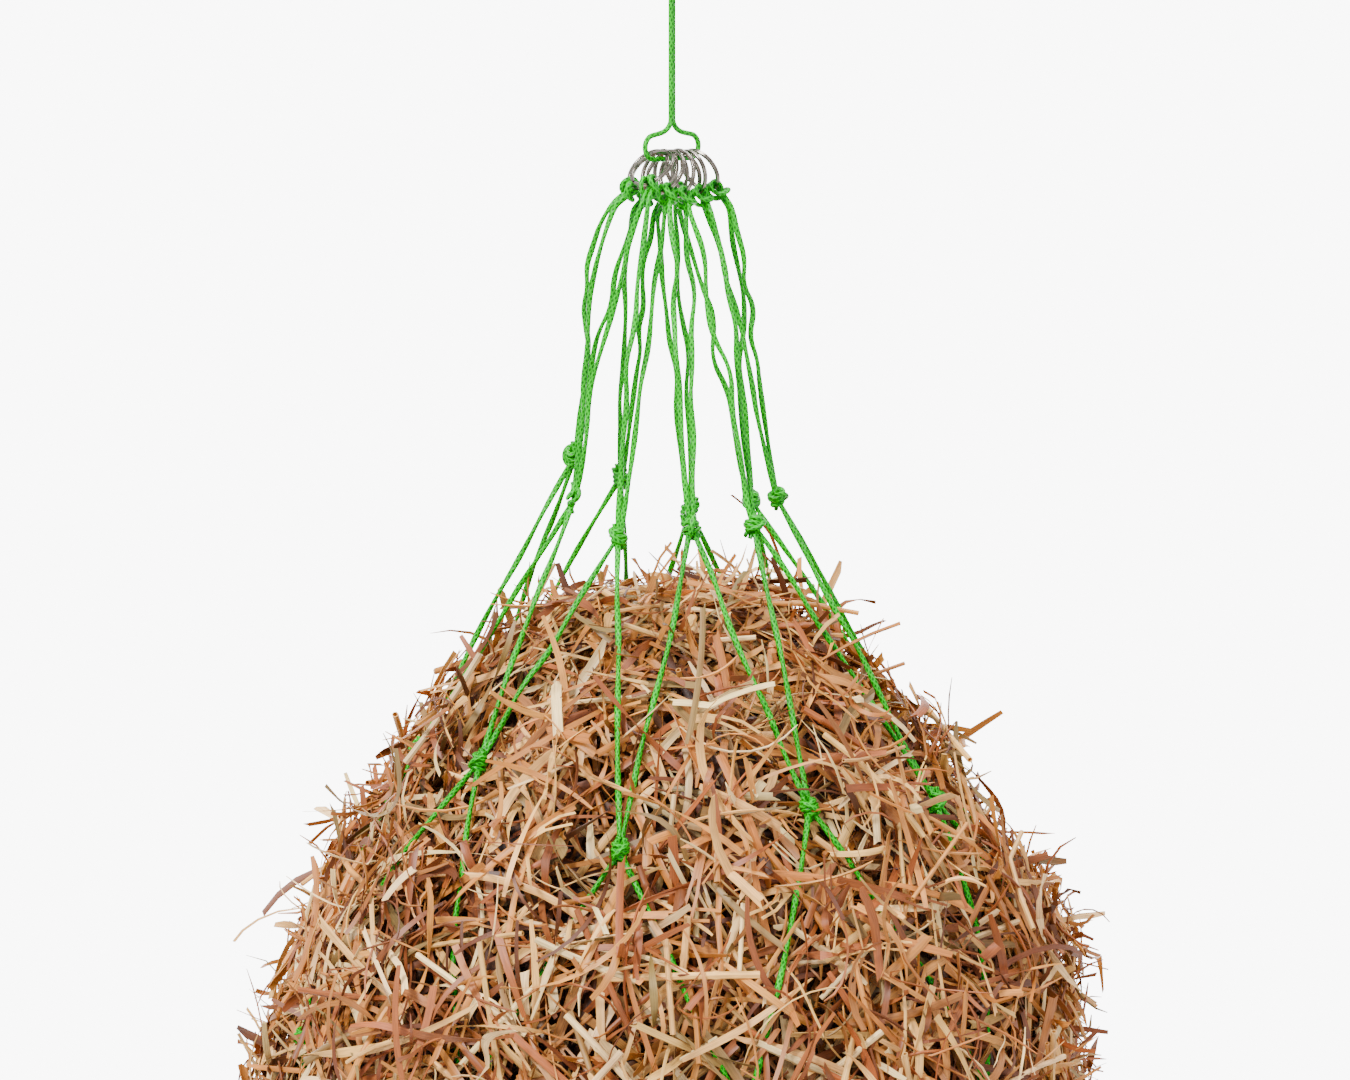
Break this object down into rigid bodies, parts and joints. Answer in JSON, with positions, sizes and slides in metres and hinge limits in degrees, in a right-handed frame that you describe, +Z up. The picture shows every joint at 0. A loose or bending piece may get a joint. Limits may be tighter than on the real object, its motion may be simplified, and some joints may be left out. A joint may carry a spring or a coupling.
{
  "type": "hanging net feeder",
  "caption": "Hanging net feeder: a knotted twine bag gathered on small split rings, hung from a looped drawcord and filled with straw.",
  "frame": {"origin": "crown of the hanging loop, on its inner side, where a hook bears", "axes": "+Z up along the hanging bag's axis; the side usually seen faces -Y"},
  "size_m": [0.4125, 0.4151, 0.9504],
  "materials": {
    "drawcord_twine": "braided nylon cord, slight sheen",
    "net_twine": "braided nylon netting twine, slight sheen",
    "split_ring_steel": "bright nickel plate",
    "welded_ring_steel": "bright nickel plate, welded joint",
    "straw": "dry chopped straw and leaf, dull to silky"
  },
  "bodies": {
    "loop": {"hanging_loop": "drawcord_twine", "loop_knot": "drawcord_twine"},
    "drawcord": {"drawcord": "drawcord_twine"},
    "net_bag": {"cow_hitch_1": "net_twine", "cow_hitch_2": "net_twine", "cow_hitch_3": "net_twine", "cow_hitch_4": "net_twine", "cow_hitch_5": "net_twine", "cow_hitch_6": "net_twine", "cow_hitch_7": "net_twine", "cow_hitch_8": "net_twine", "cow_hitch_9": "net_twine", "mouth_twines_1": "net_twine", "mouth_twines_2": "net_twine", "mouth_twines_3": "net_twine", "mouth_twines_4": "net_twine", "mouth_twines_5": "net_twine", "mouth_twines_6": "net_twine", "mouth_twines_7": "net_twine", "mouth_twines_8": "net_twine", "mouth_twines_9": "net_twine", "row_1_knots": "net_twine", "row_2_knots": "net_twine", "row_3_knots": "net_twine", "row_4_knots": "net_twine", "row_5_knots": "net_twine", "row_1_bars": "net_twine", "row_2_bars": "net_twine", "row_3_bars": "net_twine", "row_4_bars": "net_twine", "bottom_twines": "net_twine", "bottom_hitches": "net_twine", "bottom_ring": "welded_ring_steel", "straw_fill": "straw"},
    "ring_1": {"split_ring_1": "split_ring_steel"},
    "ring_2": {"split_ring_2": "split_ring_steel"},
    "ring_3": {"split_ring_3": "split_ring_steel"},
    "ring_4": {"split_ring_4": "split_ring_steel"},
    "ring_5": {"split_ring_5": "split_ring_steel"},
    "ring_6": {"split_ring_6": "split_ring_steel"},
    "ring_7": {"split_ring_7": "split_ring_steel"},
    "ring_8": {"split_ring_8": "split_ring_steel"},
    "ring_9": {"split_ring_9": "split_ring_steel"}
  },
  "joints": [
    {"name": "cord_sway", "type": "hinge", "parent": "loop", "child": "drawcord", "pos_m": [0, 0, -0.0538], "axis": [-0.7071, 0.7071, 0], "range_deg": [-25, 25]},
    {"name": "bag_swing", "type": "hinge", "parent": "drawcord", "child": "net_bag", "pos_m": [0, 0, -0.15], "axis": [0.7071, 0.7071, 0], "range_deg": [-15, 15]},
    {"name": "ring_1_spin", "type": "hinge", "parent": "net_bag", "child": "ring_1", "pos_m": [0.01374, 0.00827, -0.15643], "axis": [0.6243, 0.6243, 0.4695], "continuous": true},
    {"name": "ring_2_spin", "type": "hinge", "parent": "net_bag", "child": "ring_2", "pos_m": [0.00533, 0.011, -0.15715], "axis": [0.6706, 0.6706, 0.3173], "continuous": true},
    {"name": "ring_3_spin", "type": "hinge", "parent": "net_bag", "child": "ring_3", "pos_m": [-0.0005, 0.00544, -0.15789], "axis": [0.7071, 0.7071, -0.0087], "continuous": true},
    {"name": "ring_4_spin", "type": "hinge", "parent": "net_bag", "child": "ring_4", "pos_m": [-0.00605, -0.00039, -0.15709], "axis": [0.6665, 0.6665, -0.3338], "continuous": true},
    {"name": "ring_5_spin", "type": "hinge", "parent": "net_bag", "child": "ring_5", "pos_m": [-0.01153, -0.00636, -0.15539], "axis": [0.5534, 0.5534, -0.6225], "continuous": true},
    {"name": "ring_6_spin", "type": "hinge", "parent": "net_bag", "child": "ring_6", "pos_m": [-0.00954, -0.01431, -0.15425], "axis": [0.4731, 0.4731, -0.7431], "continuous": true},
    {"name": "ring_7_spin", "type": "hinge", "parent": "net_bag", "child": "ring_7", "pos_m": [-0.00334, -0.00879, -0.15634], "axis": [0.6184, 0.6184, -0.4848], "continuous": true},
    {"name": "ring_8_spin", "type": "hinge", "parent": "net_bag", "child": "ring_8", "pos_m": [0.00252, -0.00329, -0.15761], "axis": [0.6964, 0.6964, -0.1736], "continuous": true},
    {"name": "ring_9_spin", "type": "hinge", "parent": "net_bag", "child": "ring_9", "pos_m": [0.00824, 0.00241, -0.15765], "axis": [0.6984, 0.6984, 0.1564], "continuous": true}
  ]
}
